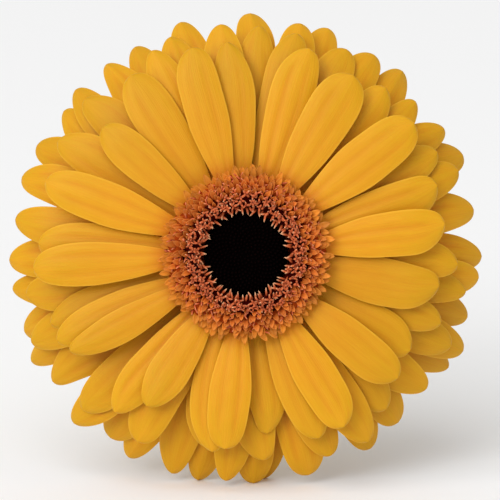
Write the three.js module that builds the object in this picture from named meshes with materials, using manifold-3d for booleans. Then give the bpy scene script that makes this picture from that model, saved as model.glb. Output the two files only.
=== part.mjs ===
// A cut gerbera: one double bloom on a bare stem, lying on a level surface.
// Millimetres, +Z up. The stem runs along +Y and the bloom faces -Y, a little upward, because the
// flower rests on its lowest petal tips and on the stem's cut end. Origin: centre of the footprint.
// In the bloom's own frame X is right, Y is up and Z comes out of its face, with 0 at the top of the
// receptacle. Clock angles run clockwise from the top, as someone facing the bloom sees them.
import * as THREE from 'three';
import { mergeVertices } from 'three/addons/utils/BufferGeometryUtils.js';
import Module from 'manifold-3d';

// ---- Driving dimensions (mm) ----
const CLEARANCE = 0.35;            // between pieces that touch in the living flower
const LAYER_GAP = 0.75;            // between a layer of petals and the one behind it

const BLOOM_RADIUS = 57.8;         // flower's axis to the longest petal tip
const PETAL_WIDTH = 11;            // widest part of a full petal
const PETAL_ROOT_WIDTH = 2.2;      // where it grows from the receptacle
const PETAL_THICKNESS = 0.5;
const PETAL_CROWN = 0.55;          // how far its edges lie below its middle
const SIDE_CLEARANCE = 0.35;       // least space between neighbours in one layer

const ROOT_DEPTH = 0.9;            // front layer's roots, below the top of the receptacle
const ARCH_RISE = 1.5;             // petals climb this far towards the face...
const ARCH_RADIUS = 32;            // ...by this distance from the axis
const DROOP_RADIUS = 22;           // where they begin to bend back
const FRONT_DROOP = 2.6;           // how far the front layer is bent back at BLOOM_RADIUS
const DROOP_STEP = 0.9;            // how much further each layer behind it is
const CURL_RADIUS = 46;            // where tips begin to curl back more tightly
const TIP_CURL = 2.8;              // how far they are curled back at BLOOM_RADIUS
const COLLAR_THICKNESS = 0.6;      // ring that joins the roots of the rim petals
const COLLAR_OVERLAP = 0.45;       // how deep those roots sink into it

const RECEPTACLE_RADIUS = 13.4;
const RECEPTACLE_DEPTH = 22;
const EYE_RADIUS = 10.2;           // dark, unopened disc florets
const EYE_HEIGHT = 4.2;
const EYE_DIMPLE = 0.8;
const INNER_FLORET_WIDTH = 4;      // ring of thread-like florets round the eye
const INNER_FLORET_HEIGHT = 6.2;
const OUTER_FLORET_WIDTH = 6.2;    // ring of small scale-like florets over the petals' roots
const OUTER_FLORET_HEIGHT = 5.4;
const OUTER_FLORET_EDGE = 1.2;     // thickness of that ring at its outer edge

const BRACT_COUNT = 21;            // in each of the two green rings behind the petals
const BRACT_THICKNESS = 0.8;
const BRACT_NOTCH = 7;             // depth of the notch between two bract tips
const INNER_BRACT_REACH = 25;      // tips, from the axis
const OUTER_BRACT_REACH = 20;

const NECK_RADIUS = 4.2;           // bottom of the receptacle
const NECK_LENGTH = 5;             // along which it narrows to the stem
const NECK_LIP = 0.1;              // by which its lower end is wider than the stem
const STEM_RADIUS = 2.9;
const STEM_LENGTH = 250;           // bottom of the receptacle to the cut end
const STEM_BEND = 14;              // how far the cut end lies to the right of the flower's axis

// ---- Petals ----
// Each is [clock angle of the tip, reach as % of BLOOM_RADIUS, width as % of PETAL_WIDTH, and, where
// it grows at a slant, how many degrees its root lies clockwise of its tip].
// A petal lies behind every petal of an earlier row that it crosses.
const TOP_ROW = [
  [31, 85, 107], [52, 87, 107], [83, 82, 99], [101.5, 80, 105], [130, 80, 94], [149.5, 81, 94],
  [186.5, 80, 90], [213, 74, 88], [240.5, 82, 72], [266.5, 87, 92], [290, 87, 97], [311.5, 78, 84],
  [327, 87, 99], [344.5, 87, 93],
];
const TUCKED_ROW = [
  [16, 88, 95], [72, 83, 92], [119, 78, 88], [158.5, 81, 90], [190.5, 82, 84, 9], [211, 89, 92],
  [220.5, 84, 90], [245.5, 85, 88], [273.5, 85, 90], [355.5, 87, 90], [12, 93, 90], [171.5, 74, 84],
  [193.5, 81, 84, 5], [251.5, 85, 88],
];
const MIDDLE_ROW = [
  [41, 89, 90], [62, 89, 90], [91.5, 87, 88], [109.5, 85, 90], [137, 86, 90], [157.5, 90, 92],
  [177, 85, 92], [226, 93, 94], [258.5, 92, 90], [278, 96, 90], [302.5, 90, 94], [335.5, 92, 88],
  [353.5, 95, 92], [3, 94, 92], [25.5, 94, 92], [49, 94, 90], [68.5, 94, 90], [99.5, 92, 88],
  [115, 93, 92], [128, 93, 92], [147, 92, 94], [184, 94, 94], [200, 96, 94], [248, 96, 92],
  [315.5, 92, 94],
];
const RIM_ROW = [
  [216.5, 95, 97], [238, 96, 99], [341, 95, 95], [14, 98, 89], [32, 98, 93], [56.5, 97, 91],
  [78, 96, 93], [96.5, 97, 89], [114, 99, 93], [137, 94, 93], [163.5, 95, 93], [177.5, 95, 89],
  [191.5, 96, 93], [210, 98, 93], [224.5, 100, 95], [244.5, 100, 93], [260.5, 98, 93], [290, 98, 93],
  [306.5, 96, 91], [324.5, 98, 91], [344.5, 100, 93], [2.5, 100, 89], [20, 100, 91], [41.5, 100, 91],
  [64, 99, 91], [90, 98, 91], [105.5, 96, 91], [120, 97, 89], [146.5, 96, 91], [174.5, 94, 91],
  [251.5, 98, 89], [269, 98, 91], [298.5, 98, 91], [313, 98, 89], [332, 98, 89],
];
const ROWS = [TOP_ROW, TUCKED_ROW, MIDDLE_ROW, RIM_ROW];
const ROW_FIRST_LAYER = [0, 1, 2, 4];      // how far forward each row may come
const WIDEST_AT = 0.66;                    // share of its length where a petal is widest
const ROOT_TAPER = 1.1;                    // 1 widens like a quarter sine, more stays narrow for longer
const TIP_BLUNTNESS = 3;                   // 2 is an elliptical tip, more is squarer
const PETAL_STATIONS = [0, 0.18, 0.42, 0.66, 0.84, 0.95];
const UPPER_FACE = [-1, -0.5, 0, 0.5, 1];  // points across a petal, as shares of its half width
const LOWER_FACE = [0.5, 0, -0.5];
const DROOP_VARIATION = 0.45;              // share of DROOP_STEP by which one petal differs from another
const LAYER_PITCH = PETAL_THICKNESS + PETAL_CROWN + LAYER_GAP;
const GOLDEN_ANGLE = 2.4;                  // radians, spreads the variation over the petals

// ---- Profiles of the flower's heart, turned about its axis ----
const EYE_PROFILE = [[0.94, 0], [1, 0.4], [0.93, 0.8], [0.72, 1]];   // [share of radius, share of height]
const DIMPLE_PROFILE = [[0.35, 0.6], [0, 1]];                        // [share of radius, share of depth]
const INNER_CREST = [[0, 0.75], [0.4, 1], [1, 0.85]];                // [share of width, share of height]
const OUTER_CREST = [[0, 1], [0.35, 0.9], [0.7, 0.6], [1, OUTER_FLORET_EDGE / OUTER_FLORET_HEIGHT]];
const SEAT_STATIONS = [0, 0.25, 0.5, 0.75, 1];                       // shares of width along the underside

// ---- Fineness of the round shapes ----
const BODY_SEGMENTS = 24;
const RING_SEGMENTS = 32;
const STEM_STEPS = 12;
const STEM_SIDES = 12;

// ---- Materials ----
const matte = (color, roughness) => new THREE.MeshStandardMaterial({ color, roughness, metalness: 0 });
const PETAL_YELLOW = matte(0xe2a021, 0.55);
const EYE_BLACK = matte(0x0d0404, 0.8);
const FLORET_PINK = matte(0x96402a, 0.7);
const FLORET_ORANGE = matte(0xc9702a, 0.65);
const STEM_GREEN = matte(0x86994a, 0.6);
const BRACT_GREEN = matte(0x55702c, 0.6);

const { lerp, clamp, degToRad } = THREE.MathUtils;
const wasm = await Module();
wasm.setup();

// ---- Shared shapes ----

// How high a layer's upper face is at a distance from the axis. Every layer is the same arch, one
// pitch behind the last and bent back further, so two layers never meet.
function layerHeight(layer, radius, variation = 0) {
  const inside = Math.min((radius - ARCH_RADIUS) / (ARCH_RADIUS - RECEPTACLE_RADIUS), 0);
  const outside = Math.max((radius - DROOP_RADIUS) / (BLOOM_RADIUS - DROOP_RADIUS), 0);
  const curl = Math.max((radius - CURL_RADIUS) / (BLOOM_RADIUS - CURL_RADIUS), 0);
  const droop = FRONT_DROOP + (layer + DROOP_VARIATION * variation) * DROOP_STEP;
  const level = ARCH_RISE * (1 - inside ** 2) - ROOT_DEPTH - layer * LAYER_PITCH;
  return level - droop * outside ** 2 - TIP_CURL * curl ** 2;
}

// The receptacle narrows evenly from its top to the neck.
function receptacleRadius(height) {
  return lerp(RECEPTACLE_RADIUS, NECK_RADIUS, clamp(-height / RECEPTACLE_DEPTH, 0, 1));
}

function welded(geometry) {
  geometry.deleteAttribute('normal');
  geometry.deleteAttribute('uv');
  return mergeVertices(geometry, 1e-4);
}

// A body whose profile of [radius, height] points turns about the flower's axis.
function turned(profile, segments) {
  const points = profile.map(([radius, height]) => new THREE.Vector2(radius, height));
  return welded(new THREE.LatheGeometry(points, segments).rotateX(Math.PI / 2));
}

// Skins a chain of rings, each a list of as many points. The last may be one point, a tip. Flat caps
// close the ends, or, in a loop, the last ring is skinned to the first.
function skinned(rings, isLoop = false) {
  const around = rings[0].length;
  const index = [];
  const corner = (ring, j) => {
    const at = ring % rings.length;
    return at * around + (rings[at].length === 1 ? 0 : j % around);
  };
  for (let i = 0; i + 1 < rings.length + (isLoop ? 1 : 0); i++) {
    const isTip = rings[(i + 1) % rings.length].length === 1;
    for (let j = 0; j < around; j++) {
      index.push(corner(i, j), corner(i, j + 1), corner(i + 1, j));
      if (!isTip) index.push(corner(i, j + 1), corner(i + 1, j + 1), corner(i + 1, j));
    }
  }
  const last = (rings.length - 1) * around;
  for (let j = 1; j + 1 < around && !isLoop; j++) {
    index.push(0, j + 1, j);
    if (rings.at(-1).length > 1) index.push(last, last + j, last + j + 1);
  }
  const geometry = new THREE.BufferGeometry().setFromPoints(rings.flat());
  geometry.setIndex(index);
  return geometry;
}

// One solid from several that overlap.
function joined(geometries) {
  const solids = geometries.map((geometry) => new wasm.Manifold(new wasm.Mesh({
    numProp: 3,
    vertProperties: Float32Array.from(geometry.attributes.position.array),
    triVerts: Uint32Array.from(geometry.index.array),
  })));
  const { vertProperties, triVerts } = solids.reduce((whole, solid) => whole.add(solid)).getMesh();
  const geometry = new THREE.BufferGeometry();
  geometry.setAttribute('position', new THREE.BufferAttribute(Float32Array.from(vertProperties), 3));
  geometry.setIndex(new THREE.BufferAttribute(Uint32Array.from(triVerts), 1));
  return geometry;
}

// ---- Petals ----

function makePetal([tip, reach, width, slant = 0], row, order) {
  return {
    row,
    isJoined: row === ROWS.length - 1,
    tip: degToRad(tip),
    root: degToRad(tip + slant),
    reach: BLOOM_RADIUS * reach / 100,
    width: PETAL_WIDTH * width / 100,
    variation: Math.sin(order * GOLDEN_ANGLE),
  };
}

// The side of the receptacle at the height where a layer meets it, found by repeated approach.
function sideRadius(layer) {
  const rounds = 4;
  let radius = RECEPTACLE_RADIUS;
  for (let i = 0; i < rounds; i++) radius = receptacleRadius(layerHeight(layer, radius));
  return radius;
}

// The rim petals' roots sink into their collar, and any others beside the collar stay clear of it.
function rootRadius(petal, layer) {
  const root = sideRadius(layer) + CLEARANCE;
  if (petal.isJoined) return root + COLLAR_THICKNESS - COLLAR_OVERLAP;
  return layer < ROW_FIRST_LAYER.at(-1) - 1 ? root : root + COLLAR_THICKNESS + CLEARANCE;
}

function halfWidth(petal, share) {
  const opening = Math.sin(Math.min(share / WIDEST_AT, 1) * Math.PI / 2) ** ROOT_TAPER;
  const closing = Math.max((share - WIDEST_AT) / (1 - WIDEST_AT), 0) ** TIP_BLUNTNESS;
  return lerp(PETAL_ROOT_WIDTH, petal.width, opening) / 2 * Math.sqrt(1 - closing);
}

// Whether two petals of one layer would come closer than SIDE_CLEARANCE.
function meet(a, b, layer) {
  const spanAt = (petal, radius) => {
    const root = rootRadius(petal, layer);
    const share = (radius - root) / (petal.reach - root);
    return { angle: lerp(petal.root, petal.tip, share), half: halfWidth(petal, Math.max(share, 0)) };
  };
  const start = Math.max(rootRadius(a, layer), rootRadius(b, layer));
  for (let radius = start; radius < Math.min(a.reach, b.reach); radius++) {
    const [spanA, spanB] = [spanAt(a, radius), spanAt(b, radius)];
    const turn = Math.abs(spanA.angle - spanB.angle) % (2 * Math.PI);
    const apart = Math.min(turn, 2 * Math.PI - turn) * radius;
    if (apart < spanA.half + spanB.half + SIDE_CLEARANCE) return true;
  }
  return false;
}

// Puts each petal in the first layer that has room for it, behind the earlier rows that it crosses.
function layered(rows) {
  const placed = [];
  rows.forEach((row, rowIndex) => row.forEach((numbers) => {
    const petal = makePetal(numbers, rowIndex, placed.length);
    const inFront = placed.filter((other) => other.row < rowIndex);
    const isMet = (layer, others) => others.some((other) => (
      other.layer === layer && meet(petal, other, layer)));
    petal.layer = Math.max(0, ...placed.map((other) => other.layer + 1));
    while (petal.layer > ROW_FIRST_LAYER[rowIndex] && !isMet(petal.layer - 1, inFront)) petal.layer--;
    while (isMet(petal.layer, placed)) petal.layer++;
    placed.push(petal);
  }));
  return placed;
}

// A thin, crowned blade with a lens-shaped section.
function petalSolid(petal) {
  const root = rootRadius(petal, petal.layer);
  const place = (share, across, depth) => {
    const radius = lerp(root, petal.reach, share);
    const angle = lerp(petal.root, petal.tip, share);
    const side = halfWidth(petal, share) * across;
    const x = radius * Math.sin(angle) + side * Math.cos(angle);
    const y = radius * Math.cos(angle) - side * Math.sin(angle);
    const height = layerHeight(petal.layer, Math.hypot(x, y), petal.variation);
    return new THREE.Vector3(x, y, height - PETAL_CROWN * across ** 2 - depth);
  };
  const rings = PETAL_STATIONS.map((share) => [
    ...UPPER_FACE.map((across) => place(share, across, 0)),
    ...LOWER_FACE.map((across) => place(share, across, PETAL_THICKNESS)),
  ]);
  return skinned([...rings, [place(1, 0, PETAL_THICKNESS / 2)]]);
}

// The hindmost petals, with their roots grown together in a collar on the side of the receptacle.
function rimSolid(petals) {
  const petalLayers = petals.map((petal) => petal.layer);
  const rootHeight = (layer) => layerHeight(layer, sideRadius(layer));
  const top = rootHeight(Math.min(...petalLayers));
  const bottom = rootHeight(Math.max(...petalLayers)) - PETAL_CROWN - PETAL_THICKNESS;
  const face = (height, out) => [receptacleRadius(height) + CLEARANCE + out, height];
  const collar = turned([face(bottom, 0), face(bottom, COLLAR_THICKNESS), face(top, COLLAR_THICKNESS),
    face(top, 0), face(bottom, 0)], RING_SEGMENTS);
  return joined([collar, ...petals.map(petalSolid)]);
}

// ---- Heart of the flower ----

// The underside of the floret rings: clear of the receptacle's top and of the petals' roots.
function seat(radius) {
  return CLEARANCE + Math.max(0, layerHeight(0, radius));
}

function eyeSolid() {
  const top = CLEARANCE + EYE_HEIGHT;
  const flank = EYE_PROFILE.map(([out, up]) => [EYE_RADIUS * out, CLEARANCE + EYE_HEIGHT * up]);
  const dimple = DIMPLE_PROFILE.map(([out, down]) => [EYE_RADIUS * out, top - EYE_DIMPLE * down]);
  return turned([[0, CLEARANCE], ...flank, ...dimple], BODY_SEGMENTS);
}

// A ring of florets as one body, from an inner radius outward, with its crest as its upper face.
function floretRing(inner, width, height, crest) {
  const above = (share, rise) => [inner + width * share, seat(inner + width * share) + rise];
  const under = SEAT_STATIONS.map((share) => above(share, 0));
  const over = crest.map(([share, rise]) => above(share, height * rise));
  return turned([...under, ...over.reverse(), under[0]], RING_SEGMENTS);
}

// ---- Green parts ----

// A ring of pointed bracts, grown together below their notches. drop is its depth below the petals.
function bractRing(reach, drop, layer, turn) {
  const inner = receptacleRadius(layerHeight(layer, RECEPTACLE_RADIUS) - drop) + CLEARANCE;
  const loop = (share, depth) => Array.from({ length: 2 * BRACT_COUNT }, (_, i) => {
    const angle = Math.PI / BRACT_COUNT * (i + turn);
    const outer = i % 2 ? reach - BRACT_NOTCH : reach;
    const radius = lerp(inner, outer, share);
    const height = layerHeight(layer, radius) - drop - depth;
    return new THREE.Vector3(radius * Math.sin(angle), radius * Math.cos(angle), height);
  });
  return skinned([loop(0, 0), loop(0.5, 0), loop(1, BRACT_THICKNESS / 2), loop(0.5, BRACT_THICKNESS),
    loop(0, BRACT_THICKNESS)], true);
}

// The bare stem and the receptacle that it swells into, one growth.
function stemSolid() {
  const neckBottom = -RECEPTACLE_DEPTH - NECK_LENGTH;
  const receptacle = turned([
    [0, neckBottom], [STEM_RADIUS + NECK_LIP, neckBottom], [NECK_RADIUS, -RECEPTACLE_DEPTH],
    [RECEPTACLE_RADIUS, 0], [0, 0],
  ], BODY_SEGMENTS);
  const along = (share, x) => new THREE.Vector3(x, 0, -RECEPTACLE_DEPTH - STEM_LENGTH * share);
  const path = new THREE.CubicBezierCurve3(along(0, 0), along(1 / 3, 0), along(2 / 3, STEM_BEND / 4),
    along(1, STEM_BEND));
  const section = new THREE.Shape().absarc(0, 0, STEM_RADIUS, 0, 2 * Math.PI);
  const stem = new THREE.ExtrudeGeometry(section, {
    extrudePath: path, steps: STEM_STEPS, curveSegments: STEM_SIDES,
  });
  return joined([receptacle, welded(stem)]);
}

// ---- Assembly ----

const petals = layered(ROWS);
const hindmost = Math.max(...petals.map((petal) => petal.layer));
const flower = new THREE.Group();

function add(name, geometry, material) {
  geometry.computeVertexNormals();
  const mesh = new THREE.Mesh(geometry, material);
  mesh.name = name;
  flower.add(mesh);
  return mesh;
}

const innerRing = EYE_RADIUS + CLEARANCE;
const outerRing = innerRing + INNER_FLORET_WIDTH + CLEARANCE;
const stem = add('stem', stemSolid(), STEM_GREEN);
add('eye_florets', eyeSolid(), EYE_BLACK);
add('inner_florets', floretRing(innerRing, INNER_FLORET_WIDTH, INNER_FLORET_HEIGHT, INNER_CREST),
  FLORET_PINK);
add('outer_florets', floretRing(outerRing, OUTER_FLORET_WIDTH, OUTER_FLORET_HEIGHT, OUTER_CREST),
  FLORET_ORANGE);

petals.filter((petal) => !petal.isJoined).forEach((petal, i) => {
  add(`petal_${String(i + 1).padStart(2, '0')}`, petalSolid(petal), PETAL_YELLOW);
});
add('rim_petals', rimSolid(petals.filter((petal) => petal.isJoined)), PETAL_YELLOW);

const outerDrop = LAYER_PITCH + BRACT_THICKNESS + CLEARANCE;
add('inner_bracts', bractRing(INNER_BRACT_REACH, LAYER_PITCH, hindmost, 0), BRACT_GREEN);
add('outer_bracts', bractRing(OUTER_BRACT_REACH, outerDrop, hindmost, 1), BRACT_GREEN);

// ---- At rest ----

function cornersOf(meshes) {
  return meshes.flatMap((mesh) => {
    const { position } = mesh.geometry.attributes;
    const corner = (_, i) => new THREE.Vector3().fromBufferAttribute(position, i);
    return Array.from({ length: position.count }, corner);
  });
}

// How far the flower's axis tilts up so that the bloom and the stem's cut end touch one level surface.
function restingTilt() {
  const bloomPoints = cornersOf(flower.children.filter((mesh) => mesh !== stem));
  const stemPoints = cornersOf([stem]);
  const lowest = (points, tilt) => Math.min(...points.map(({ y, z }) => (
    y * Math.cos(tilt) + z * Math.sin(tilt))));
  const tolerance = 1e-7;
  let [low, high] = [0, Math.PI / 4];
  while (high - low > tolerance) {
    const tilt = (low + high) / 2;
    if (lowest(bloomPoints, tilt) < lowest(stemPoints, tilt)) low = tilt;
    else high = tilt;
  }
  return low;
}

flower.rotation.x = Math.PI / 2 - restingTilt();
flower.updateMatrixWorld(true);
const box = new THREE.Box3().setFromObject(flower, true);
const middle = box.getCenter(new THREE.Vector3());
flower.position.set(-middle.x, -middle.y, -box.min.z);

export default flower;
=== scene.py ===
"""The looks of the cut gerbera: fine petals, florets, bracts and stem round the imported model.

Everything is shaped in millimetres in the bloom's own frame, X to the right, Y up and Z out of its
face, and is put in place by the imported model: each petal is measured from its CAD solid.
"""
import math

import bpy
import numpy as np
from mathutils import Matrix, Vector


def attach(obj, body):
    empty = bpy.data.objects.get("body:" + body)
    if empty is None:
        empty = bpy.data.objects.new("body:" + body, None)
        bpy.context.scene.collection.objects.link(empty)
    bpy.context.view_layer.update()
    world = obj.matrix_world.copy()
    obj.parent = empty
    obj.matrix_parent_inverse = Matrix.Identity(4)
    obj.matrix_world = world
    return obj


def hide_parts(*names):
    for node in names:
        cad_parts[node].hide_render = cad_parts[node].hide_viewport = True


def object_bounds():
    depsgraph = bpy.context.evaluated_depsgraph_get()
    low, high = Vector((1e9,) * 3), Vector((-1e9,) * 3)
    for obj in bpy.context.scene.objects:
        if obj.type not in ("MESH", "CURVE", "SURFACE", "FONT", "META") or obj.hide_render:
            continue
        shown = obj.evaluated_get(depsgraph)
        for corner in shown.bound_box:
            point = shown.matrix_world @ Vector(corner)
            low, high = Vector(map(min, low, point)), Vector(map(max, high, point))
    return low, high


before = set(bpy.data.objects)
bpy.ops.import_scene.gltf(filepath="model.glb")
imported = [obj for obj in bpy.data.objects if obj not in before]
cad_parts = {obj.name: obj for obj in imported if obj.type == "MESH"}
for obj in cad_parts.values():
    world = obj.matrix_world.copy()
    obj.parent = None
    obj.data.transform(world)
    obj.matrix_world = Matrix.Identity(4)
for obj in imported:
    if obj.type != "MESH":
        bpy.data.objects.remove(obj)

cad_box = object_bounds()
rng = np.random.default_rng(7)

MM = 0.001
EYE_CLEARANCE = 0.35         # the eye's underside, above the top of the receptacle

# Petals
SHEET = 0.3                  # thickness of a petal in the middle
WIDEST_AT = 0.66             # share of its length where it is widest
ROOT_TAPER = 1.1
TIP_BLUNTNESS = 3.0
GROOVE = 0.17                # depth of the two long grooves
GROOVE_AT = 0.36             # their distance from the middle, as a share of the half width
GROOVE_WIDTH = 0.15
TIP_SKEW = 0.22              # how far a tip leans to one side, as a share of the half width

RIM_ROOTS = 13.0             # the rim petals are apart from each other outside this radius

# Heart
GOLDEN_ANGLE = 2.39996       # radians
EYE_BUDS = 420
INNER_ROWS = ((0.22, 52), (0.45, 54), (0.68, 56))    # (share of the ring's width, florets)
INNERMOST_THREADS = 82       # those that lean in over the eye
SCALE_ROWS = 8
FIRST_ROW_SCALES = 44
ADDED_SCALES = 2             # in each row further out
CURLS = 0.75                 # share of the scales that have a curled thread

# Green parts
BRACTS = 21                  # in each ring
HEAD_DEPTH = 30              # the receptacle and the neck end above this depth
STEM_SIDES = 44
HAIRS = 5000
HAIR_RADIUS = 0.022
HAIRLESS_TOP = 44            # rings of the stem's skin, from the top, that bear no hair
FLOOR_GAP = 1.0              # no hair grows lower than this above the floor

# Camera, framed on the bloom
LENS = 300
SENSOR = 36
VIEW_WIDTH = 118.4           # mm across the picture, at the petal tips
VIEW_HEIGHT = -6.0           # where along the bloom's axis that width is measured
AIM = (0.95, 0.95)           # mm right of and above the bloom's axis

# Room and light, in metres
FLOOR_REACH = 6.0
SKY = 0.58
SUN_DIRECTION = (0.35, 0.6, -0.75)
SUN_STRENGTH = 1.5
SUN_WIDTH = 60               # degrees
KEY_FROM_BLOOM = Vector((-0.8, -1.3, 0.7))
KEY_SIZE = 0.7
KEY_POWER = 6


# ---------------------------------------------------------------- the bloom's frame

def vertices(node):
    """A CAD node's distinct vertices, in mm, in the row's frame."""
    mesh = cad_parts[node].data
    points = np.empty(len(mesh.vertices) * 3)
    mesh.vertices.foreach_get("co", points)
    return np.unique(np.round(points.reshape(-1, 3) / MM, 3), axis=0)


def bloom_frame():
    """Origin and axes (right, up, out) of the bloom, from its rings of florets."""
    ring = vertices("outer_florets")
    centre = ring.mean(0)
    out = np.linalg.svd(ring - centre, full_matrices=False)[2][2]
    out = -out if out[1] > 0 else out
    right = np.array([1.0, 0.0, 0.0])
    right = right - out * (right @ out)
    right /= np.linalg.norm(right)
    up = np.cross(out, right)
    floor_height = (vertices("eye_florets") @ out).min() - EYE_CLEARANCE
    origin = centre + out * (floor_height - centre @ out)
    return origin, np.array([right, up, out])


ORIGIN, AXES = bloom_frame()


def in_bloom(points):
    """Row frame to bloom frame, both in mm."""
    return (points - ORIGIN) @ AXES.T


def in_row(points):
    """Bloom frame in mm to row frame in metres."""
    return (np.asarray(points) @ AXES + ORIGIN) * MM


# ---------------------------------------------------------------- mesh helpers

class Surface:
    """Vertices and faces gathered from many small shapes, with named values at each vertex."""

    def __init__(self):
        self.points, self.faces, self.values, self.count = [], [], {}, 0

    def add(self, points, faces, **values):
        points = np.asarray(points, float).reshape(-1, 3)
        self.points.append(points)
        self.faces += [tuple(int(i) + self.count for i in face) for face in faces]
        for name, value in values.items():
            spread = np.broadcast_to(np.asarray(value, float).ravel(), len(points))
            self.values.setdefault(name, []).append(spread)
        self.count += len(points)

    def piece(self, name, material, slot, *nodes):
        """The object, kept in the CAD's box, riding on the flower and standing for its CAD nodes."""
        mesh = bpy.data.meshes.new(name)
        points = np.clip(in_row(np.concatenate(self.points)), *cad_box)
        mesh.from_pydata(points.tolist(), [], self.faces)
        mesh.polygons.foreach_set("use_smooth", [True] * len(mesh.polygons))
        for key, parts in self.values.items():
            layer = mesh.attributes.new(key, "FLOAT", "POINT")
            layer.data.foreach_set("value", np.concatenate(parts).astype(np.float32))
        mesh.materials.append(material)
        piece = bpy.data.objects.new(name, mesh)
        bpy.context.scene.collection.objects.link(piece)
        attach(piece, "root")
        if nodes:
            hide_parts(*nodes)
        return piece


def ring_faces(rings, around, cap_start=True, cap_end=True):
    """Faces of a skin over rings of points that each run once round."""
    faces = []
    for i in range(rings - 1):
        for j in range(around):
            k = (j + 1) % around
            faces.append((i * around + j, i * around + k, (i + 1) * around + k, (i + 1) * around + j))
    if cap_start:
        faces.append(tuple(range(around - 1, -1, -1)))
    if cap_end:
        faces.append(tuple((rings - 1) * around + j for j in range(around)))
    return faces


def sheet_faces(rings, width):
    """Faces of a thin closed sheet: each ring is width points over it and width points back under."""
    around = 2 * width
    faces = ring_faces(rings, around, False, False)
    last = (rings - 1) * around
    for j in range(width - 1):
        under = around - 1 - j
        faces.append((j + 1, j, under, under - 1))
        faces.append((last + j, last + j + 1, last + under - 1, last + under))
    return faces


def smooth(x, low, high):
    """0 below low, 1 above high, and a smooth step between them."""
    t = np.clip((np.asarray(x, float) - low) / (high - low), 0, 1)
    return t * t * (3 - 2 * t)


def turned(profile, around=96):
    """Points and faces of a profile of (radius, height) points turned about the bloom's axis."""
    angles = np.arange(around) * 2 * math.pi / around
    points = [np.stack([r * np.sin(angles), r * np.cos(angles), np.full(around, h)], 1) for r, h in profile]
    return np.concatenate(points), ring_faces(len(profile), around)


def thread(path, radii, sides=6):
    """Points and faces of a thin tube along a path."""
    path = np.asarray(path, float)
    ahead = np.gradient(path, axis=0)
    ahead /= np.linalg.norm(ahead, axis=1, keepdims=True)
    side = np.cross(ahead, [0.31, 0.17, 0.93])
    side /= np.linalg.norm(side, axis=1, keepdims=True)
    other = np.cross(ahead, side)
    turn = np.arange(sides) * 2 * math.pi / sides
    ring = np.cos(turn)[None, :, None] * side[:, None] + np.sin(turn)[None, :, None] * other[:, None]
    points = path[:, None] + ring * np.asarray(radii, float)[:, None, None]
    return points.reshape(-1, 3), ring_faces(len(path), sides)


def at_clock(points, angle, radius=0.0, height=0.0):
    """Turns points made at the top of the bloom (x across, y outward, z up) to a clock angle."""
    x, y, z = points[:, 0], points[:, 1] + radius, points[:, 2] + height
    c, s = math.cos(angle), math.sin(angle)
    return np.stack([x * c + y * s, y * c - x * s, z], 1)


# ---------------------------------------------------------------- materials

def material(name):
    made = bpy.data.materials.new(name)
    made.use_nodes = True
    tree = made.node_tree
    shader = tree.nodes["Principled BSDF"]
    return made, tree, shader


def node(tree, kind, inputs=(), **settings):
    """A shader node with its settings, and its inputs as values or links, in order or by name."""
    made = tree.nodes.new(kind)
    for key, value in settings.items():
        setattr(made, key, value)
    pairs = inputs.items() if isinstance(inputs, dict) else enumerate(inputs)
    for key, value in pairs:
        if isinstance(value, bpy.types.NodeSocket):
            tree.links.new(value, made.inputs[key])
        elif value is not None:
            made.inputs[key].default_value = value
    return made


def value_at(tree, name):
    return node(tree, "ShaderNodeAttribute", attribute_name=name).outputs["Fac"]


def maths(tree, operation, *inputs):
    return node(tree, "ShaderNodeMath", inputs, operation=operation).outputs[0]


def mixed(tree, factor, first, second, blend="MIX"):
    """Mix of two colours, each a colour or a link."""
    made = node(tree, "ShaderNodeMix", data_type="RGBA", blend_type=blend, clamp_factor=True)
    for socket, value in ((made.inputs[0], factor), (made.inputs[6], first), (made.inputs[7], second)):
        if isinstance(value, bpy.types.NodeSocket):
            tree.links.new(value, socket)
        else:
            socket.default_value = value if isinstance(value, float) else (*value, 1.0)
    return made.outputs[2]


def ramp(tree, factor, *stops):
    """A smooth ramp through (place, brightness) stops."""
    made = node(tree, "ShaderNodeValToRGB", [factor])
    bar = made.color_ramp
    bar.interpolation = "EASE"
    while len(bar.elements) < len(stops):
        bar.elements.new(0.5)
    for element, (place, level) in zip(bar.elements, stops):
        element.position = place
        element.color = (level, level, level, 1)
    return made.outputs[0]


def colour(red, green, blue):
    """Linear colour of an sRGB triple from 0 to 255."""
    return tuple(c / 12.92 if c <= 0.04045 else ((c + 0.055) / 1.055) ** 2.4
                 for c in (red / 255, green / 255, blue / 255))


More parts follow.
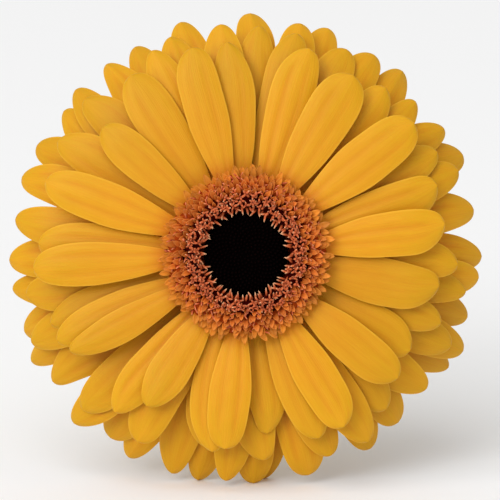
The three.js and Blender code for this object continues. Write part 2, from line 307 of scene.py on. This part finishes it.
def petal_material():
    """Golden satin with fine long veins, painted shade in the grooves, a painted highlight along the edges,
    and orange at the root that is partly the petal's own deeper orange and partly painted shade where petals
    tuck under others.
    """
    made, tree, shader = material("petal_gold")
    along, across, chance = (value_at(tree, name) for name in ("along", "across", "chance"))
    lines = node(tree, "ShaderNodeCombineXYZ", [
        maths(tree, "MULTIPLY", across, 9.0), maths(tree, "MULTIPLY", along, 1.6),
        maths(tree, "MULTIPLY", chance, 31.0)]).outputs[0]
    veins = node(tree, "ShaderNodeTexNoise", {"Vector": lines, "Scale": 2.4, "Detail": 3.0,
                                              "Roughness": 0.55}).outputs["Fac"]
    cloud = node(tree, "ShaderNodeCombineXYZ", [
        across, maths(tree, "MULTIPLY", along, 3.0), chance]).outputs[0]
    patches = node(tree, "ShaderNodeTexNoise", {"Vector": cloud, "Scale": 1.3, "Detail": 2.0}).outputs["Fac"]

    body = mixed(tree, ramp(tree, along, (0.3, 0.0), (1.0, 1.0)), colour(217, 147, 16), colour(208, 154, 12))
    body = mixed(tree, ramp(tree, patches, (0.35, 0.0), (0.7, 0.6)), body, colour(219, 156, 24))
    body = mixed(tree, ramp(tree, veins, (0.38, 0.0), (0.68, 0.25)), body, colour(203, 129, 10))
    # Painted shade: the colour darkens in the two long grooves, where shade falls.
    groove = value_at(tree, "groove")
    body = mixed(tree, maths(tree, "MULTIPLY", groove, 0.3), body, colour(200, 118, 8))
    # Painted highlight: a thin lighter band along each petal's edges, where they catch the light.
    edge = ramp(tree, maths(tree, "ABSOLUTE", across), (0.9, 0.0), (1.0, 0.45))
    body = mixed(tree, edge, body, colour(236, 180, 52))
    # Orange at the root: partly the petal's own deeper orange, partly painted shade where the petals tuck
    # under one another.
    root = ramp(tree, along, (0.1, 0.8), (0.3, 0.0))
    body = mixed(tree, root, body, colour(206, 112, 20))
    body = mixed(tree, maths(tree, "MULTIPLY", value_at(tree, "under"), 0.65), body, colour(238, 188, 78))
    tone = maths(tree, "MULTIPLY_ADD", chance, 0.12, 0.93)
    grey = node(tree, "ShaderNodeCombineColor", [tone, tone, tone]).outputs[0]
    tree.links.new(mixed(tree, 1.0, body, grey, "MULTIPLY"), shader.inputs["Base Color"])

    relief = node(tree, "ShaderNodeBump", {"Height": veins, "Strength": 0.35, "Distance": 0.00022})
    tree.links.new(relief.outputs[0], shader.inputs["Normal"])
    shader.inputs["Roughness"].default_value = 0.52
    shader.inputs["Specular IOR Level"].default_value = 0.2
    shader.inputs["Subsurface Weight"].default_value = 0.15
    shader.inputs["Subsurface Radius"].default_value = (1.0, 0.5, 0.05)
    shader.inputs["Subsurface Scale"].default_value = 0.0008
    return made


def floret_material(name, root, body, tip, roughness=0.55, specular=0.25, outermost=None):
    """A small fleshy floret: one colour at its root, another along it, a third at its tip.

    outermost is the colour that florets further out in their ring turn to.
    """
    made, tree, shader = material(name)
    along, chance = value_at(tree, "along"), value_at(tree, "chance")
    place = node(tree, "ShaderNodeNewGeometry").outputs["Position"]
    grain = node(tree, "ShaderNodeTexNoise", {"Vector": place, "Scale": 900.0, "Detail": 2.0}).outputs["Fac"]
    # Darker towards the root. For the peach threads and the orange and pink scales and curls, this dark root
    # colour is painted shade deep among the florets.
    skin = mixed(tree, ramp(tree, along, (0.05, 0.0), (0.5, 1.0)), root, body)
    skin = mixed(tree, ramp(tree, along, (0.62, 0.0), (1.0, 1.0)), skin, tip)
    if outermost:
        skin = mixed(tree, ramp(tree, value_at(tree, "outward"), (0.45, 0.0), (1.0, 0.85)), skin, outermost)
    shade = maths(tree, "MULTIPLY_ADD", chance, 0.36, 0.8)
    grains = maths(tree, "MULTIPLY_ADD", grain, 0.3, 0.85)
    level = maths(tree, "MULTIPLY", shade, grains)
    grey = node(tree, "ShaderNodeCombineColor", [level, level, level]).outputs[0]
    tree.links.new(mixed(tree, 1.0, skin, grey, "MULTIPLY"), shader.inputs["Base Color"])
    relief = node(tree, "ShaderNodeBump", {"Height": grain, "Strength": 0.4, "Distance": 0.0001})
    tree.links.new(relief.outputs[0], shader.inputs["Normal"])
    shader.inputs["Roughness"].default_value = roughness
    shader.inputs["Specular IOR Level"].default_value = specular
    return made


def green_material(name, deep, light, ribs):
    """Fleshy green skin with long ribs and a mottled tone."""
    made, tree, shader = material(name)
    along, across = value_at(tree, "along"), value_at(tree, "across")
    place = node(tree, "ShaderNodeNewGeometry").outputs["Position"]
    mottle = node(tree, "ShaderNodeTexNoise", {"Vector": place, "Scale": 160.0, "Detail": 4.0}).outputs["Fac"]
    lines = node(tree, "ShaderNodeCombineXYZ", [
        maths(tree, "MULTIPLY", across, ribs), maths(tree, "MULTIPLY", along, 2.5), 0.0]).outputs[0]
    streaks = node(tree, "ShaderNodeTexNoise", {"Vector": lines, "Scale": 2.0, "Detail": 3.0}).outputs["Fac"]
    skin = mixed(tree, ramp(tree, mottle, (0.35, 0.0), (0.7, 1.0)), deep, light)
    skin = mixed(tree, ramp(tree, streaks, (0.45, 0.0), (0.7, 0.45)), skin, tuple(c * 1.5 for c in light))
    skin = mixed(tree, ramp(tree, along, (0.8, 0.0), (1.0, 0.6)), skin, colour(112, 92, 52))
    tree.links.new(skin, shader.inputs["Base Color"])
    relief = node(tree, "ShaderNodeBump", {"Height": streaks, "Strength": 0.5, "Distance": 0.0002})
    tree.links.new(relief.outputs[0], shader.inputs["Normal"])
    shader.inputs["Roughness"].default_value = 0.55
    shader.inputs["Subsurface Weight"].default_value = 0.08
    shader.inputs["Subsurface Radius"].default_value = (0.5, 1.0, 0.2)
    shader.inputs["Subsurface Scale"].default_value = 0.001
    shader.inputs["Sheen Weight"].default_value = 0.08
    return made


def floor_material():
    made, tree, shader = material("pale_floor")
    shader.inputs["Base Color"].default_value = (0.94, 0.94, 0.94, 1)
    shader.inputs["Roughness"].default_value = 0.9
    shader.inputs["Specular IOR Level"].default_value = 0.1
    return made


# ---------------------------------------------------------------- petals

class Petal:
    """One petal's course, measured from the vertices of its CAD solid."""

    def __init__(self, cloud):
        tip = cloud[np.hypot(cloud[:, 0], cloud[:, 1]).argmax()]
        self.angle = math.atan2(tip[0], tip[1])
        s, c = math.sin(self.angle), math.cos(self.angle)
        along = cloud[:, 0] * s + cloud[:, 1] * c
        across = cloud[:, 0] * c - cloud[:, 1] * s
        order = along.argsort()
        cuts = np.nonzero(np.diff(along[order]) > 0.7)[0] + 1
        stations = np.array([
            (along[i].mean(), (across[i].min() + across[i].max()) / 2, cloud[i, 2].max(),
             np.ptp(across[i]) / 2) for i in np.split(order, cuts)])
        self.root, self.reach = stations[0, 0], stations[-1, 0]
        self.half = stations[:, 3].max()
        self.root_half = min(stations[0, 3], 1.6)
        self.course = np.polyfit(stations[:, 0], stations[:, 1], 2)
        self.rise = np.polyfit(np.hypot(stations[:, 0], stations[:, 1]), stations[:, 2], 4)

    def half_width(self, share, bluntness):
        opening = np.sin(np.minimum(share / WIDEST_AT, 1) * math.pi / 2) ** ROOT_TAPER
        closing = np.clip((share - WIDEST_AT) / (1 - WIDEST_AT), 0, 1) ** bluntness
        return (self.root_half + (self.half - self.root_half) * opening) * np.sqrt(1 - closing)


def separate_blades(node_name, beyond):
    """The clouds of vertices of a joined node's petals, outside a radius."""
    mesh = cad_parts[node_name].data
    points = np.empty(len(mesh.vertices) * 3)
    mesh.vertices.foreach_get("co", points)
    cloud, where = np.unique(np.round(points.reshape(-1, 3) / MM, 3), axis=0, return_inverse=True)
    where = where.ravel()
    cloud = in_bloom(cloud)
    radius = np.hypot(cloud[:, 0], cloud[:, 1])
    parent = list(range(len(cloud)))

    def root(i):
        while parent[i] != i:
            parent[i] = parent[parent[i]]
            i = parent[i]
        return i

    for face in mesh.polygons:
        corners = [int(where[i]) for i in face.vertices]
        if min(radius[corners]) > beyond:
            for corner in corners[1:]:
                parent[root(corner)] = root(corners[0])
    groups = {}
    for i in np.nonzero(radius > beyond)[0]:
        groups.setdefault(root(int(i)), []).append(i)
    return [cloud[members] for members in groups.values()]


def add_petal(surface, petal, is_joined):
    """One fine petal: crowned, with two long grooves, soft waves and a slightly rolled tip."""
    body = np.linspace(-0.22 if is_joined else 0, WIDEST_AT, 26)
    end = WIDEST_AT + (1 - WIDEST_AT) * np.sin(np.linspace(0, math.pi / 2, 20)[1:] * 0.995)
    share = np.concatenate([body, end])
    across = np.sin(np.linspace(-1, 1, 23) * math.pi / 2 * 0.92) / math.sin(math.pi / 2 * 0.92)
    chance = rng.random()
    phase, wave, roll, bow, curl, skew, pinch = rng.random(), *rng.normal(0, 1, 6)

    s, t = np.meshgrid(share, across, indexing="ij")
    positive = np.clip(s, 0, 1)
    along = petal.root + (petal.reach - petal.root) * s
    width = petal.half_width(positive, TIP_BLUNTNESS * (0.88 + 0.22 * np.clip(pinch, -1.5, 1.2)))
    wobble = 1 + 0.025 * np.sin(2 * math.pi * (1.7 * s + phase)) * smooth(s, 0.3, 0.6)
    side = np.polyval(petal.course, along) + width * wobble * t + 0.25 * bow * np.sin(math.pi * positive)
    side = side + TIP_SKEW * np.clip(skew, -1.5, 1.5) * petal.half * smooth(s, 0.7, 1.05) ** 2
    sa, ca = math.sin(petal.angle), math.cos(petal.angle)
    x, y = along * sa + side * ca, along * ca - side * sa
    height = np.polyval(petal.rise, np.maximum(np.hypot(along, side), petal.root))

    flank = np.abs(t)
    place, strength = GROOVE_AT * (1 + 0.15 * wave), 0.45 + 0.85 * chance
    groove = np.exp(-((flank - place) / GROOVE_WIDTH) ** 2) * (strength + 0.2 * roll * np.sign(t))
    groove *= smooth(s, 0.04, 0.25) * (1 - smooth(s, 0.8, 0.97))
    crown = (0.32 + 0.5 * positive) * flank ** 2.3
    waves = 0.1 * wave * np.sin(2 * math.pi * (1.3 * s + phase)) + 0.05 * roll * t * width * positive
    tip_roll = (0.35 + 0.25 * curl) * smooth(s, 0.78, 1.0) ** 1.5
    if is_joined:
        fold = np.clip(0.3 + 0.25 * roll, 0, 0.6) * (1 - flank) ** 2 * smooth(s, 0.5, 0.8)
        tip_roll, groove = 1.7 * tip_roll - fold, 1.5 * groove
    height = height - crown - GROOVE * groove + waves - tip_roll
    sheet = SHEET * (1 - 0.5 * flank ** 4) * (1 - 0.4 * smooth(s, 0.9, 1))

    upper = np.stack([x, y, height], -1)
    lower = np.stack([x, y, height - sheet], -1)
    rings = np.concatenate([upper, lower[:, ::-1]], axis=1)
    # groove, the grooves' depth, also tells the material where to paint shade in the grooves.
    values = {"along": s, "across": t, "groove": groove}
    values = {key: np.concatenate([grid, grid[:, ::-1]], axis=1) for key, grid in values.items()}
    values["under"] = np.concatenate([0 * s, 0 * s + 1], axis=1)
    surface.add(rings, sheet_faces(len(share), len(across)), chance=chance, **values)


def build_petals():
    gold = petal_material()
    for name in sorted(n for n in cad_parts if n.startswith("petal_")):
        surface = Surface()
        add_petal(surface, Petal(in_bloom(vertices(name))), False)
        surface.piece("ray_" + name, gold, "ray_petal", name)
    surface = Surface()
    for cloud in separate_blades("rim_petals", RIM_ROOTS):
        add_petal(surface, Petal(cloud), True)
    surface.piece("ray_rim_petals", gold, "ray_petal", "rim_petals")


# ---------------------------------------------------------------- the heart

def radii_of(name):
    """Inner and outer radius, and lowest and highest point, of a round CAD node."""
    cloud = in_bloom(vertices(name))
    radius = np.hypot(cloud[:, 0], cloud[:, 1])
    return radius.min(), radius.max(), cloud[:, 2].min(), cloud[:, 2].max()


def add_bed(surface, profile, **values):
    points, faces = turned(profile)
    surface.add(points, faces, **values)


def add_scale(surface, angle, radius, height, length, width, lift, outward):
    """A small pointed floret, hollowed like a spoon, leaning outward."""
    rows, columns = 9, 5
    s, t = np.meshgrid(np.linspace(0, 1, rows), np.linspace(-1, 1, columns), indexing="ij")
    outline = (0.42 + 0.58 * np.sin(np.minimum(s / 0.5, 1) * math.pi / 2)) * (1 - s ** 4) ** 0.8
    x = t * width / 2 * np.maximum(outline, 0.03)
    bend = lift * (1 - 0.45 * s)
    step = length / (rows - 1)
    y = np.cumsum(np.cos(bend) * step, axis=0) - step
    z = np.cumsum(np.sin(bend) * step, axis=0) - step
    hollow = 0.3 * width * t ** 2 * (1 - 0.5 * s)
    y, z = y - hollow * np.sin(bend), z + hollow * np.cos(bend)
    upper = np.stack([x, y, z], -1)
    lower = upper - np.stack([0 * x, -np.sin(bend), np.cos(bend)], -1) * 0.16
    ring = np.concatenate([upper, lower[:, ::-1]], axis=1).reshape(-1, 3)
    twist = rng.normal(0, 0.28)
    c, q = math.cos(twist), math.sin(twist)
    ring = np.stack([ring[:, 0] * c + ring[:, 1] * q, ring[:, 1] * c - ring[:, 0] * q, ring[:, 2]], 1)
    along = np.concatenate([s, s], axis=1)
    surface.add(at_clock(ring, angle, radius, height), sheet_faces(rows, columns), along=along,
                outward=outward, chance=rng.random())


def add_curl(surface, angle, radius, height, length, thick, start, bend, turn):
    """A thread that starts at an angle above the bed and curls over, in a plane turned by turn."""
    steps = 9
    pitch = start + bend * np.linspace(0, 1, steps)
    step = length / (steps - 1)
    y = np.concatenate([[0], np.cumsum(np.cos(pitch[:-1]) * step)])
    z = np.concatenate([[0], np.cumsum(np.sin(pitch[:-1]) * step)])
    path = np.stack([y * math.sin(turn), y * math.cos(turn), z], 1)
    share = np.linspace(0, 1, steps)
    radii = thick / 2 * (0.75 + 0.5 * np.sin(share * math.pi)) * np.sqrt(np.clip(1.02 - share ** 6, 0.02, 1))
    points, faces = thread(at_clock(path, angle, radius, height), radii)
    surface.add(points, faces, along=np.repeat(share, 6), chance=rng.random())


def build_eye():
    """Dark unopened florets, packed in a spiral over a low dome."""
    _, radius, low, high = radii_of("eye_florets")
    black = floret_material("eye_black", colour(3, 1, 1), colour(6, 2, 2), colour(12, 3, 3), 0.9, 0.01)
    surface = Surface()
    dome = high - low - 1.3

    def dome_height(q):
        return low + dome * (0.55 + 0.45 * math.cos(q ** 3 * math.pi / 2)) - 0.5 * (1 - q) ** 2

    edge = radius * 0.97
    flank = [(edge * q, dome_height(q)) for q in np.linspace(1, 0, 14)[:-1]]
    add_bed(surface, [(edge, low), *flank, (0.02, low + dome - 0.5)], along=0.0, chance=0.2)
    for i in range(EYE_BUDS):
        q = math.sqrt((i + 0.5) / EYE_BUDS)
        angle = i * GOLDEN_ANGLE
        base = dome_height(q) - 0.3
        tall = 0.75 + 0.35 * q + 0.15 * rng.random()
        lean = 1.35 - 0.25 * q
        path = [(0, k * tall / 4 * math.cos(lean), k * tall / 4 * math.sin(lean)) for k in range(5)]
        radii = np.array([0.24, 0.33, 0.35, 0.26, 0.07]) * (0.85 + 0.25 * rng.random())
        points, faces = thread(at_clock(np.array(path), angle, radius * 0.95 * q, base), radii)
        surface.add(points, faces, along=np.repeat(np.linspace(0, 1, 5), 6), chance=rng.random())
    surface.piece("eye_buds", black, "eye_floret", "eye_florets")


def build_inner_florets():
    """Thread-like florets: forked, curled tips over a dark maroon bed, coloured as painted shade in the gaps
    between them, the innermost over the eye.
    """
    inner, outer, low, high = radii_of("inner_florets")
    # Painted shade: the bed's dark maroon stands for the shade in the gaps between the threads.
    maroon = floret_material("floret_maroon", colour(56, 2, 2), colour(70, 5, 4), colour(60, 3, 3), 0.9, 0.02)
    # Painted shade: the peach threads' dark root colour stands for the shade deep among them.
    peach = floret_material("floret_peach", colour(96, 9, 5), colour(192, 92, 48), colour(238, 184, 138))
    bed = Surface()
    top = low + 0.5 * (high - low)
    add_bed(bed, [(inner, low), (inner, top - 0.9), (inner + 0.8, top), (outer, top), (outer, low),
                  (inner, low)], along=0.3, chance=0.3)
    bed.piece("inner_floret_bed", maroon, "inner_floret", "inner_florets")
    surface = Surface()
    for row, (share, count) in enumerate(INNER_ROWS):
        for i in range(count):
            angle = (i + 0.5 * (row % 2) + rng.normal(0, 0.25)) * 2 * math.pi / count
            radius = inner + (outer - inner) * share + rng.normal(0, 0.3)
            tall = high - top - 0.7 + rng.normal(0, 0.35)
            add_curl(surface, angle, radius, top - 0.4, tall, 0.62, 1.45, 0.1, 0.0)
            lobes = rng.integers(2, 5)
            first = rng.random() * 2 * math.pi
            for k in range(lobes):
                add_curl(surface, angle, radius + 0.1, top - 0.5 + tall, rng.uniform(0.9, 1.6),
                         rng.uniform(0.34, 0.48), rng.uniform(0.7, 1.3), rng.uniform(-3.2, -1.2),
                         first + (k + rng.normal(0, 0.15)) * 2 * math.pi / lobes)
    for i in range(INNERMOST_THREADS):
        angle = (i + rng.normal(0, 0.25)) * 2 * math.pi / INNERMOST_THREADS
        add_curl(surface, angle, inner + 0.5 + rng.normal(0, 0.18), top - 0.6, rng.uniform(2.3, 3.3),
                 rng.uniform(0.36, 0.5), 1.5, rng.uniform(-3.0, -1.7), math.pi + rng.normal(0, 0.5))
    surface.piece("inner_floret_threads", peach, "inner_floret")


def build_outer_florets():
    """Small pointed scales in overlapping rings that lean out over the petals' roots."""
    inner, outer, low, _ = radii_of("outer_florets")
    # Painted shade: the bed's dark red-brown stands for the shade in the gaps between the scales.
    rust = floret_material("floret_rust", colour(116, 30, 8), colour(162, 64, 16), colour(162, 64, 16),
                           0.9, 0.02)
    # Painted shade: the scales' darker root colour stands for the shade deep among the scales.
    orange = floret_material("floret_orange", colour(178, 68, 18), colour(216, 116, 42), colour(222, 132, 58),
                             outermost=colour(220, 140, 38))
    # Painted shade: the curls' darker root colour stands for the shade deep among the scales.
    pink = floret_material("floret_pink", colour(160, 50, 22), colour(214, 106, 62), colour(228, 150, 104))
    width = outer - inner
    bed = Surface()
    add_bed(bed, [(inner, low), (inner, low + 2.9), (inner + 0.3 * width, low + 2.6),
                  (inner + 0.5 * width, low + 1.3), (inner + 0.64 * width, low + 0.5),
                  (inner + 0.64 * width, low), (inner, low)], along=0.4, chance=0.4)
    bed.piece("outer_floret_bed", rust, "outer_floret", "outer_florets")
    scales, curls = Surface(), Surface()
    for row in range(SCALE_ROWS):
        q = row / (SCALE_ROWS - 1)
        count = FIRST_ROW_SCALES + ADDED_SCALES * row
        for i in range(count):
            angle = (i + 0.5 * (row % 2) + rng.normal(0, 0.2)) * 2 * math.pi / count
            radius = inner + width * (-0.2 + 0.63 * q) + rng.normal(0, 0.25)
            height = low + 2.8 - 2.2 * q ** 1.3
            length = 2.6 + 0.8 * q + rng.normal(0, 0.35)
            lift = 1.3 - 0.8 * q + rng.normal(0, 0.12)
            add_scale(scales, angle, radius, height, length, rng.uniform(1.1, 1.5) + 0.4 * q, lift, q)
            if rng.random() < CURLS:
                side = rng.choice([-1, 1])
                add_curl(curls, angle + side * 0.045, radius + 0.25, height + 0.3,
                         1.5 + 0.7 * rng.random(), 0.34, lift + 0.25,
                         -1.3 * rng.random() - 0.9, side * (0.4 + 0.8 * rng.random()))
    scales.piece("outer_floret_scales", orange, "outer_floret")
    curls.piece("outer_floret_curls", pink, "outer_floret")


# ---------------------------------------------------------------- green parts

def build_bracts():
    """Two rings of narrow, keeled, pointed bracts behind the petals."""
    green = green_material("bract_green", colour(78, 102, 38), colour(122, 146, 62), 5.0)
    for ring, name in enumerate(("inner_bracts", "outer_bracts")):
        cloud = in_bloom(vertices(name))
        radius = np.hypot(cloud[:, 0], cloud[:, 1])
        rise = np.polyfit(radius, cloud[:, 2], 2)
        root, reach = radius.min() - 0.8, radius.max()
        surface = Surface()
        for i in range(BRACTS):
            angle = (2 * i + ring) * math.pi / BRACTS
            s, t = np.meshgrid(np.linspace(0, 1, 22), np.linspace(-1, 1, 9), indexing="ij")
            length = (reach - root) * (1 + 0.03 * min(rng.normal(), 0))
            along = root + length * s
            outline = (0.8 + 0.2 * np.sin(np.minimum(s / 0.4, 1) * math.pi / 2)) * (1 - s ** 2.4) ** 0.9
            half = (2.0 - 0.25 * ring) * np.maximum(outline, 0.02)
            keel = -0.32 * (1 - np.abs(t)) ** 1.5 * (1 - 0.4 * s) + 0.3 * t ** 2
            lift = -0.25 * smooth(s, 0.7, 1) * rng.random() - 0.12 * (i % 2)
            upper = np.stack([half * t, along, np.polyval(rise, along) + keel * 0.4 + lift + 0.25], -1)
            lower = upper + np.stack([0 * s, 0 * s, -0.45 * (1 - 0.6 * s) + keel * 0.6], -1)
            grid = np.concatenate([upper, lower[:, ::-1]], axis=1).reshape(-1, 3)
            twin = {key: np.concatenate([v, v[:, ::-1]], axis=1) for key, v in (("along", s), ("across", t))}
            surface.add(at_clock(grid, angle), sheet_faces(22, 9), **twin)
        surface.piece(name + "_blades", green, "bract", name)


def stem_shape():
    """The skin's points, ring by ring from the top, and the stem's course, girth and lower end."""
    cloud = in_bloom(vertices("stem"))
    end = cloud[:, 2].min()
    girth = np.ptp(cloud[cloud[:, 2] < end + 1][:, 1]) / 2
    head, shaft = cloud[cloud[:, 2] > -HEAD_DEPTH], cloud[cloud[:, 2] < -HEAD_DEPTH]
    levels = np.unique(np.round(head[:, 2], 1))
    outline = [np.hypot(*head[np.abs(head[:, 2] - level) < 0.1][:, :2].T).max() for level in levels]
    course_x, course_y = (np.polyfit(shaft[:, 2], shaft[:, axis], 3) for axis in (0, 1))

    heights = np.concatenate([np.linspace(0, -HEAD_DEPTH, 60), np.linspace(-HEAD_DEPTH, end, 170)[1:]])
    fade = smooth(-heights, levels[-1] - levels[0] - 8, HEAD_DEPTH + 12)
    middle = np.stack([fade * np.polyval(course_x, heights), fade * np.polyval(course_y, heights)], 1)
    radius = np.interp(heights, np.append(-HEAD_DEPTH, levels), np.append(girth, outline)) - 0.06
    turn = np.arange(STEM_SIDES) * 2 * math.pi / STEM_SIDES
    h, a = np.meshgrid(heights, turn, indexing="ij")
    ribs = 0.045 * np.cos(11 * a + 0.6 * np.sin(h / 40)) * smooth(-h, 6, 30)
    swell = 0.05 * np.sin(h / 17) + 0.04 * np.sin(2 * a + h / 23)
    r = radius[:, None] + ribs + swell - 0.08
    points = np.stack([middle[:, :1] + r * np.sin(a), middle[:, 1:] + r * np.cos(a), h], -1)
    return points, middle, r[-1].mean(), girth, end


def cut_face(last_ring, centre, radius, girth, end):
    """The stem's cut end: flat, with a small hollow in the middle of the pith."""
    rims = [(radius, end), (0.9 * girth, end + 0.02), (0.55 * girth, end + 0.25), (0.4 * girth, end + 1.6)]
    rings, _ = turned(rims, STEM_SIDES)
    rings[:STEM_SIDES] = last_ring
    rings[STEM_SIDES:, :2] += centre
    pith = Surface()
    pith.add(rings, ring_faces(len(rims), STEM_SIDES, False, True),
             along=np.repeat([0.9, 0.3, 0.5, 0.0], STEM_SIDES), chance=0.5)
    return pith


def stem_down(points):
    """Short hairs all over the skin, except where it lies on the floor."""
    turn = np.arange(STEM_SIDES) * 2 * math.pi / STEM_SIDES
    down = Surface()
    for _ in range(HAIRS):
        i = rng.integers(HAIRLESS_TOP, len(points) - 2)
        j = rng.integers(STEM_SIDES)
        out = np.array([math.sin(turn[j]), math.cos(turn[j]), rng.normal(0, 0.25)])
        base = points[i, j] + (points[i + 1, j] - points[i, j]) * rng.random()
        if base[1] * AXES[1, 2] + base[2] * AXES[2, 2] + ORIGIN[2] < FLOOR_GAP:
            continue
        side = np.array([out[1], -out[0], 0.0]) * HAIR_RADIUS
        lift = np.array([0, 0, HAIR_RADIUS])
        tip = base + out * rng.uniform(0.3, 0.75)
        down.add([base + side, base - side + lift, base - lift, tip],
                 [(0, 1, 2), (0, 3, 1), (1, 3, 2), (2, 3, 0)],
                 along=[0.5, 0.5, 0.5, 1.0], chance=rng.random())
    return down


def build_stem():
    """Receptacle, neck and ribbed, downy stem on the CAD solid's course, cut square across."""
    points, middle, radius, girth, end = stem_shape()
    heights, angles = points[:, :, 2], np.arange(STEM_SIDES) * 2 * math.pi / STEM_SIDES
    skin = Surface()
    skin.add(points, ring_faces(len(points), STEM_SIDES, True, False),
             along=np.clip(heights / end, 0, 1) * 0.8, across=np.sin(angles + 0 * heights))
    pith = cut_face(points[-1], middle[-1], radius, girth, end)
    down = stem_down(points)
    green = green_material("stem_green", colour(104, 126, 56), colour(132, 152, 74), 9.0)
    pale = floret_material("stem_pith", colour(150, 140, 86), colour(206, 208, 150), colour(150, 166, 92),
                           0.5)
    white = floret_material("stem_down", colour(170, 176, 120), colour(196, 200, 150), colour(220, 220, 190),
                            0.7)
    skin.piece("stem_skin", green, "stem", "stem")
    pith.piece("stem_cut_face", pale, "stem")
    down.piece("stem_down_hairs", white, "stem")


# ---------------------------------------------------------------- room, light and camera

def build_room():
    """A wide pale floor under an even white sky."""
    mesh = bpy.data.meshes.new("floor")
    reach = FLOOR_REACH
    mesh.from_pydata([(-reach, -reach, 0), (reach, -reach, 0), (reach, reach, 0), (-reach, reach, 0)], [],
                     [(0, 1, 2, 3)])
    mesh.materials.append(floor_material())
    floor = bpy.data.objects.new("floor", mesh)
    bpy.context.scene.collection.objects.link(floor)
    world = bpy.data.worlds.new("studio")
    bpy.context.scene.world = world
    world.use_nodes = True
    world.node_tree.nodes["Background"].inputs[0].default_value = (1, 1, 1, 1)
    world.node_tree.nodes["Background"].inputs[1].default_value = SKY


def add_light(name, place, size, power, target):
    """A round soft light at a place in the row's frame, aimed at a point."""
    lamp = bpy.data.lights.new(name, "AREA")
    lamp.shape = "DISK"
    lamp.size = size
    lamp.energy = power
    light = bpy.data.objects.new(name, lamp)
    bpy.context.scene.collection.objects.link(light)
    light.location = place
    light.rotation_euler = (Vector(target) - Vector(place)).to_track_quat("-Z", "Y").to_euler()


def add_sun(direction, strength, softness):
    """Even light over the whole floor. softness is the sun's width, in degrees."""
    lamp = bpy.data.lights.new("sun", "SUN")
    lamp.energy = strength
    lamp.angle = math.radians(softness)
    light = bpy.data.objects.new("sun", lamp)
    bpy.context.scene.collection.objects.link(light)
    light.rotation_euler = Vector(direction).to_track_quat("-Z", "Y").to_euler()


def build_camera():
    """Along the bloom's axis, so that the bloom is seen face on."""
    data = bpy.data.cameras.new("camera")
    data.lens, data.sensor_width = LENS, SENSOR
    camera = bpy.data.objects.new("camera", data)
    bpy.context.scene.collection.objects.link(camera)
    distance = VIEW_WIDTH / 2 / (SENSOR / 2 / LENS)
    place = in_row([[*AIM, VIEW_HEIGHT + distance]])[0]
    right, up, out = AXES
    turn = Matrix((right, up, out)).transposed().to_4x4()
    camera.matrix_world = Matrix.Translation(Vector(place)) @ turn
    data.clip_start, data.clip_end = 0.01, 50
    bpy.context.scene.camera = camera


build_petals()
build_eye()
build_inner_florets()
build_outer_florets()
build_bracts()
build_stem()
build_room()
bloom = Vector(in_row([[0, 0, 0]])[0])
add_sun(SUN_DIRECTION, SUN_STRENGTH, SUN_WIDTH)
add_light("key", bloom + KEY_FROM_BLOOM, KEY_SIZE, KEY_POWER, bloom)
build_camera()
bpy.context.scene.view_settings.view_transform = "Standard"
